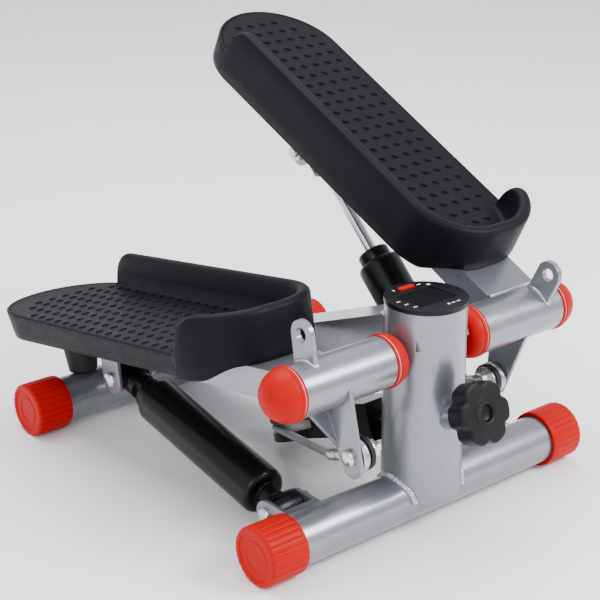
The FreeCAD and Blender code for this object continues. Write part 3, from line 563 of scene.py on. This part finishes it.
def on_tread(u, s, heel):
    """Whether a bump keeps clear of the free edge, the rim and the heel's border."""
    rim_clear, edge_clear, wing_clear, wing_end, heel_clear = 15, 7.5, 17, 100, 8.5
    outboard = edge_clear if s > wing_end else wing_clear
    if not -PEDAL_HALF + rim_clear < u < PEDAL_HALF - outboard:
        return False
    if s > heel and math.hypot(u, s - heel) > PEDAL_HALF - heel_clear:
        return False
    corner, beyond = TOE + TOE_ROUND, abs(u) - (PEDAL_HALF - TOE_ROUND)
    in_corner = s < corner and beyond > 0 and math.hypot(beyond, s - corner) > TOE_ROUND - rim_clear
    return s > TOE + rim_clear and not in_corner


def bump_rings(u, s, turn):
    """One low oval bump, turned on the tread."""
    rings = []
    for scale, lift in ((1.0, -0.2), (0.88, 0.55), (0.62, 0.95), (0.25, 1.1)):
        ring = []
        for angle in turns(16):
            a, b = BUMP_HALF_LONG * scale * math.cos(angle), BUMP_HALF_WIDE * scale * math.sin(angle)
            ring.append((TREAD_X + u + a * math.cos(turn) + b * math.sin(turn),
                         s - a * math.sin(turn) + b * math.cos(turn), TREAD_TOP - 0.6 + lift))
        rings.append(ring)
    return rings


def grip_bumps(side):
    """Bumps in square rows.  The rows are not mirrored, so each side has its own start and turn."""
    shape = Shape()
    if side == "right":
        sign, heel, last, turn = 1, HEEL - 4, 359.0, 0.55
    else:
        sign, heel, last, turn = -1, HEEL - 13, 343.0, -0.12
    for column in range(-4, 4):
        u = sign * (3.3 + BUMP_COLUMNS * column)
        for step in range(24):
            s = last - BUMP_ROWS * step
            if on_tread(u, s, heel):
                shape.rings(bump_rings(u, s, turn), last_cap=True)
    return shape


def bumper():
    """A rubber foot under the heel end: a cone with a rounded base."""
    top = -ARM_HALF_DEEP - 0.05
    profile = filleted([(BUMPER_BOTTOM, 0.0), (BUMPER_BOTTOM, 12.0), (top, 15.5), (top, 0.0)], [3.0, 1.0], 6)
    return lathe(profile, (ARM_X, BUMPER_Y, 0), "Z", 64)


for side in SIDES:
    body, place, flip = f"pedal_{side}", PEDAL[side], side == "left"
    pedal().made(f"pedal_{side}_moulding", body, "black_moulding", place, flip, sharp=50,
                 replaces=[f"pedal_tread_{side}"])
    # the bumps get the darker copy of the moulding, painted shade on their sides
    grip_bumps(side).made(f"pedal_{side}_grip", body, "grip_painted_shade", place, flip, slot="black_moulding", sharp=60)
    bumper().made(f"bumper_{side}", body, "black_rubber", place, flip, replaces=[f"heel_bumper_{side}"])


# ---------------------------------------------------------------- dampers
def damper_barrel():
    """The cylinder with rounded ends, its neck and its lower eye."""
    neck_r = 9.0
    profile = filleted([(neck_r, 0.0), (neck_r, neck_r), (BARREL_START, neck_r), (BARREL_START, BARREL_R),
                        (BARREL_END, BARREL_R), (BARREL_END, ROD_HOLE_R)], [0.5, 1.0, 5.5, 4.5], 7)
    shape = lathe(profile, (ARM_X, 0, 0), "Y")
    eye = filleted([(-EYE_HALF, EYE_BORE), (-EYE_HALF, EYE_R), (EYE_HALF, EYE_R), (EYE_HALF, EYE_BORE)],
                   1.2, 4)
    return lathe(eye + [eye[0]], (ARM_X, 0, 0), "X", 64, shape)


def damper_collar():
    """The gland that closes the cylinder round the rod."""
    start = BARREL_END + 0.05
    profile = filleted([(start, ROD_HOLE_R), (start, GLAND_R), (GLAND_END, GLAND_R), (GLAND_END, ROD_HOLE_R)],
                       [0.3, 2.6], 6)
    return lathe(profile + [profile[0]], (ARM_X, 0, 0), "Y", 80)


for side in SIDES:
    body, place, flip = f"damper_{side}", DAMPER[side], side == "left"
    damper_barrel().made(f"barrel_{side}", body, "black_paint", place, flip,
                         replaces=[f"damper_cylinder_{side}"])
    damper_collar().made(f"gland_{side}", body, "black_paint", place, flip)


# ---------------------------------------------------------------- bolt heads
def button_head(x, y, z):
    """The domed top of a bolt's head, over the plain disc beneath."""
    dome = [math.radians(15 + 75 * k / 9) for k in range(10)]
    profile = [(x + 2.3, 6.3), (x + 2.5, 6.1)]
    profile += [(x + 2.4 + 2.2 * math.sin(a), 6.0 * math.cos(a)) for a in dome]
    return lathe(profile, (0, y, z), "X", 48)


HEAD_X = ARM_X + EAR_INSIDE + EAR_THICK
for side in SIDES:
    body, place, flip = f"pedal_{side}", PEDAL[side], side == "left"
    for name, head, holder, where in (
            ("lever", button_head(LEVER_OUT, LEVER_Y, -LEVER_DROP), body, place),
            ("damper_top", button_head(HEAD_X, UPPER_Y, UPPER_Z), body, place),
            ("damper_foot", button_head(HEAD_X, CLEVIS_Y, CLEVIS_Z), "frame", BASE)):
        head.made(f"bolt_head_{name}_{side}", holder, "zinc", where, flip)


# ---------------------------------------------------------------- height knob
def knob():
    """Wide lobes with small notches between, softened edges, a low raised middle and a round pit in it.
    Each station is (along, radius, how far the notches cut)."""
    count, notch_depth, front_round, back_round = 240, 3.6, 1.8, 2.2
    front, back = KNOB_FRONT, KNOB_FRONT + KNOB_THICK
    stations = [(front + 4.0, 0.01, 0), (front + 4.0, 4.6, 0), (front + 3.4, 5.6, 0), (front + 0.6, 6.2, 0),
                (front + 0.1, 6.8, 0), (front, 8.0, 0), (front, 10.6, 0), (front + 0.7, 11.2, 0),
                (front + 0.8, 15.0, 0.5)]
    for a in [math.radians(90 * k / 6) for k in range(7)]:
        stations.append((front + 1.0 + front_round * (1 - math.cos(a)),
                         KNOB_R - front_round + front_round * math.sin(a), 1.0))
    for a in [math.radians(90 * k / 5) for k in range(6)]:
        stations.append((back - back_round + back_round * math.sin(a),
                         KNOB_R - back_round + back_round * math.cos(a), 1.0))
    stations += [(back, 14.0, 0.3), (back, 12.4, 0), (back + 0.4, 12.0, 0), (KNOB_END - 0.5, 11.6, 0),
                 (KNOB_END, 11.2, 0), (KNOB_END, 5.1, 0)]
    rings = []
    for y, radius, depth in stations:
        ring = []
        for angle in turns(count):
            notch = (0.5 - 0.5 * math.cos(KNOB_LOBES * (angle + 0.12))) ** 3.5
            r = radius - depth * notch_depth * notch
            ring.append((r * math.cos(angle), y, r * math.sin(angle)))
        rings.append(ring)
    return Shape().rings(rings)


knob().made("knob_grip", "adjuster", "knob_plastic", SCREW, replaces=["height_knob"], sharp=40)


# ---------------------------------------------------------------- rope
def loop_centre(side):
    sign = 1 if side == "right" else -1
    return SCREW.inverted() @ (PEDAL[side] @ Vector((sign * LOOP_X, LEVER_Y, -LEVER_DROP)))


def sleeve_heading(side):
    """Direction of the pressed sleeve, which lies square to the bolt."""
    heading = Vector((0, PULLEY_Y, 0)) - loop_centre(side)
    heading.x = 0
    return heading.normalized()


def leaving(side):
    """Angle round the pulley, and the point there, at which the run to a lever leaves it."""
    away = loop_centre(side) + sleeve_heading(side) * SLEEVE_END - Vector((0, PULLEY_Y, 0))
    spread = math.acos(ROPE_ROUND / math.hypot(away.x, away.y))
    angle = math.atan2(away.y, away.x) + (spread if side == "right" else -spread)
    return angle, Vector((ROPE_ROUND * math.cos(angle), PULLEY_Y + ROPE_ROUND * math.sin(angle), 0))


def rope(path, **more):
    """A length of stranded rope."""
    return sweep(path, ROPE_R, ROPE_SIDES, strands=ROPE_STRANDS, **more)


def bight():
    """The rope's bend round the pulley, from where one run leaves it to where the other does."""
    first, last = leaving("right")[0], leaving("left")[0] % (2 * math.pi)
    bend = [first + (last - first) * k / 90 for k in range(91)]
    return rope([(ROPE_ROUND * math.cos(a), PULLEY_Y + ROPE_ROUND * math.sin(a), 0) for a in bend])


def straight(start, end, step=0.8):
    count = max(2, int((end - start).length / step))
    return [start + (end - start) * k / count for k in range(count + 1)]


def end_loop(side):
    """The loop round the lever bolt, its neck and the pressed sleeve with its waist."""
    centre, heading = loop_centre(side), sleeve_heading(side)
    across = Vector((1, 0, 0))
    upright = across.cross(heading)
    ring = [centre + heading * (LOOP_R * math.cos(a)) + upright * (LOOP_R * math.sin(a)) for a in turns(72)]
    loop = rope(ring, closed=True, lay=2 * math.pi * LOOP_R / 4)
    rope([centre + heading * d for d in (LOOP_R, 11.5, 13.0, SLEEVE_START + 1)], shape=loop)
    mouth, waist = 3.4, 4.1
    sleeve = [(SLEEVE_START, mouth), (SLEEVE_START + 0.4, waist), (SLEEVE_START + 1.2, SLEEVE_R),
              (19.0, SLEEVE_R), (19.6, waist), (21.4, waist), (22.0, SLEEVE_R),
              (SLEEVE_END - 1.2, SLEEVE_R), (SLEEVE_END - 0.4, waist), (SLEEVE_END, mouth)]
    rings = [[tuple(centre + heading * d + across * (r * math.cos(a)) + upright * (r * math.sin(a)))
              for a in turns(32)] for d, r in sleeve]
    return loop.rings(rings, first_cap=True, last_cap=True)


bight().made("rope_round_pulley", "fork", "steel_rope", SCREW, replaces=["rope_bight"], sharp=70)
for side in SIDES:
    heading, leave = sleeve_heading(side), leaving(side)[1]
    grip_end = loop_centre(side) + heading * SLEEVE_END
    half_way = (grip_end + leave) / 2
    near = rope(straight(grip_end - heading * 0.6, half_way))
    near = near.made(f"rope_near_{side}", "frame", "steel_rope", SCREW, sharp=70, ride=False,
                     replaces=[f"rope_run_{side}"])
    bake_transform(near)
    far = rope(straight(half_way, leave)).made(f"rope_far_{side}", "frame", "steel_rope", SCREW, sharp=70,
                                               ride=False)
    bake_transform(far)
    end_loop(side).made(f"rope_loop_{side}", f"rope_end_{side}", "steel_rope", SCREW,
                        replaces=[f"rope_eye_{side}"], sharp=70)


# ---------------------------------------------------------------- welds
def bead(name, path, body, place, flip=False, radius=1.7, closed=False):
    """A welded seam's uneven bead, laid along the seam, painted in a lighter copy of the silver paint: a
    painted highlight on the bead.
    """
    rod = sweep(path, radius, 12, closed=closed, wobble=0.13)
    return rod.made(name, body, "weld_painted_highlight", place, flip, slot="silver_paint", sharp=60)


def tube_on_post(sign):
    """Seam over the top of the front cross tube where it enters the post."""
    spread, lowest = 1.02, BASE_Z + 3
    path = []
    for angle in turns(140):
        y, z = TUBE_R * math.cos(angle), TUBE_R * math.sin(angle)
        path.append((sign * (math.sqrt(POST_R ** 2 - y * y) + 0.4), y * spread, BASE_Z + z * spread))
    return [point for point in path if point[2] > lowest]


for name, sign in (("right", 1), ("left", -1)):
    bead(f"weld_front_tube_{name}", tube_on_post(sign), "frame", BASE, radius=2.4)


def eye_foot():
    """Seam round the foot of a band eye."""
    path = []
    for angle in turns(64):
        x = BAND_EYE_X + BAND_EYE_HALF * (1 if math.cos(angle) > 0 else -1) * abs(math.cos(angle)) ** 0.5
        y = BAND_EYE_REACH * math.sin(angle)
        path.append((x, y, math.sqrt(TUBE_R ** 2 - min(y * y, TUBE_R ** 2 - 1)) + 0.4))
    return path


def across_plate(middle, half, steps=40):
    """Places spread evenly over a plate's width."""
    return [middle - half + 2 * half * k / steps for k in range(steps + 1)]


def arm_foot():
    """Seam along the top of a pedal arm where it meets its pivot tube."""
    y = math.sqrt(TUBE_R ** 2 - ARM_HALF_DEEP ** 2)
    return [(x, y + 0.5, ARM_HALF_DEEP + 0.3) for x in across_plate(ARM_X, ARM_HALF_WIDE)]


for side in SIDES:
    body, place, flip = f"pedal_{side}", PEDAL[side], side == "left"
    bead(f"weld_eye_{side}", eye_foot(), body, place, flip, radius=1.3, closed=True)
    bead(f"weld_arm_{side}", arm_foot(), body, place, flip, radius=1.6)
    under = [(x, y, -z) for x, y, z in arm_foot()]
    bead(f"weld_arm_under_{side}", under, body, place, flip, radius=1.6)


def beam_head():
    """Seam along the top of the rear beam where it meets the post."""
    slope = math.tan(math.radians(SCREW_SLOPE))
    path = []
    for x in across_plate(0, BEAM_HALF):
        y = math.sqrt(POST_R ** 2 - x ** 2) + 0.6
        path.append((x, y, BEAM_TOP_Z - (y - BEAM_TOP_Y) * slope + 0.4))
    return path


bead("weld_beam_post", beam_head(), "frame", BASE, radius=1.5)


# ---------------------------------------------------------------- monitor marks
def marks():
    """Small plain bars in place of the printing on the bezel."""
    shape = Shape()
    for x, y, wide, tall in ((-23.5, 4.0, 3.4, 0.9), (-22.6, -3.2, 3.4, 0.9), (-21.0, -10.5, 3.4, 0.9),
                             (-11.0, 22.5, 0.9, 2.6), (12.0, 20.5, 3.6, 0.9), (17.5, 16.0, 2.6, 2.0),
                             (1.5, -21.0, 2.0, 2.0), (6.0, -21.0, 3.4, 0.8), (11.0, -21.0, 3.4, 0.8)):
        shape.box((x - wide / 2, y - tall / 2, MONITOR_TOP - 0.05),
                  (x + wide / 2, y + tall / 2, MONITOR_TOP + 0.12))
    return shape


marks().made("monitor_marks", "frame", "print", BASE, slot="black_gloss")


# ---------------------------------------------------------------- stage
def floor():
    """A wide pale floor."""
    reach = 6  # metres
    corners = [(-reach, -reach, 0), (reach, -reach, 0), (reach, reach, 0), (-reach, reach, 0)]
    mesh = bpy.data.meshes.new("floor")
    mesh.from_pydata(corners, [], [(0, 1, 2, 3)])
    thing = bpy.data.objects.new("floor", mesh)
    bpy.context.scene.collection.objects.link(thing)
    made = Nodes("floor_paper")
    made.blotch(made.noise(3, 3), (0.96, 0.96, 0.96), (0.98, 0.98, 0.98))
    made.set(Roughness=0.9, Specular_IOR_Level=0.1)
    mesh.materials.append(made.material)
    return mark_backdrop(thing)


def softbox(name, place, target, wide, tall, watts):
    """A rectangular area light, in metres, turned to its target."""
    lamp = bpy.data.lights.new(name, "AREA")
    lamp.shape, lamp.size, lamp.size_y, lamp.energy = "RECTANGLE", wide, tall, watts
    thing = bpy.data.objects.new(name, lamp)
    thing.location = place
    thing.rotation_euler = (Vector(target) - Vector(place)).to_track_quat("-Z", "Y").to_euler()
    bpy.context.scene.collection.objects.link(thing)


floor()
softbox("key", (0.75, -1.25, 1.25), (0, 0, 0.12), 0.7, 0.7, 34)
softbox("fill", (-1.4, -0.7, 0.9), (0, 0, 0.12), 0.8, 0.8, 9)
softbox("top", (0.0, 0.5, 1.8), (0, 0, 0.1), 1.6, 1.2, 34)
world = bpy.data.worlds.new("studio")
bpy.context.scene.world = world
world.use_nodes = True
world.node_tree.nodes["Background"].inputs["Color"].default_value = (0.93, 0.95, 1.0, 1)
world.node_tree.nodes["Background"].inputs["Strength"].default_value = 1.15

camera_data = bpy.data.cameras.new("camera")
camera = bpy.data.objects.new("camera", camera_data)
bpy.context.scene.collection.objects.link(camera)
bpy.context.scene.camera = camera
target = Vector((-2.2, FRONT_Y + 137.6, 132.2)) * MM
camera_way, camera_distance = Vector((-0.598, -0.716, 0.360)), 1.1674
camera.location = target + camera_way.normalized() * camera_distance
camera.rotation_euler = (target - camera.location).to_track_quat("-Z", "Y").to_euler()
camera_data.lens, camera_data.sensor_width = 89.0, 36.0
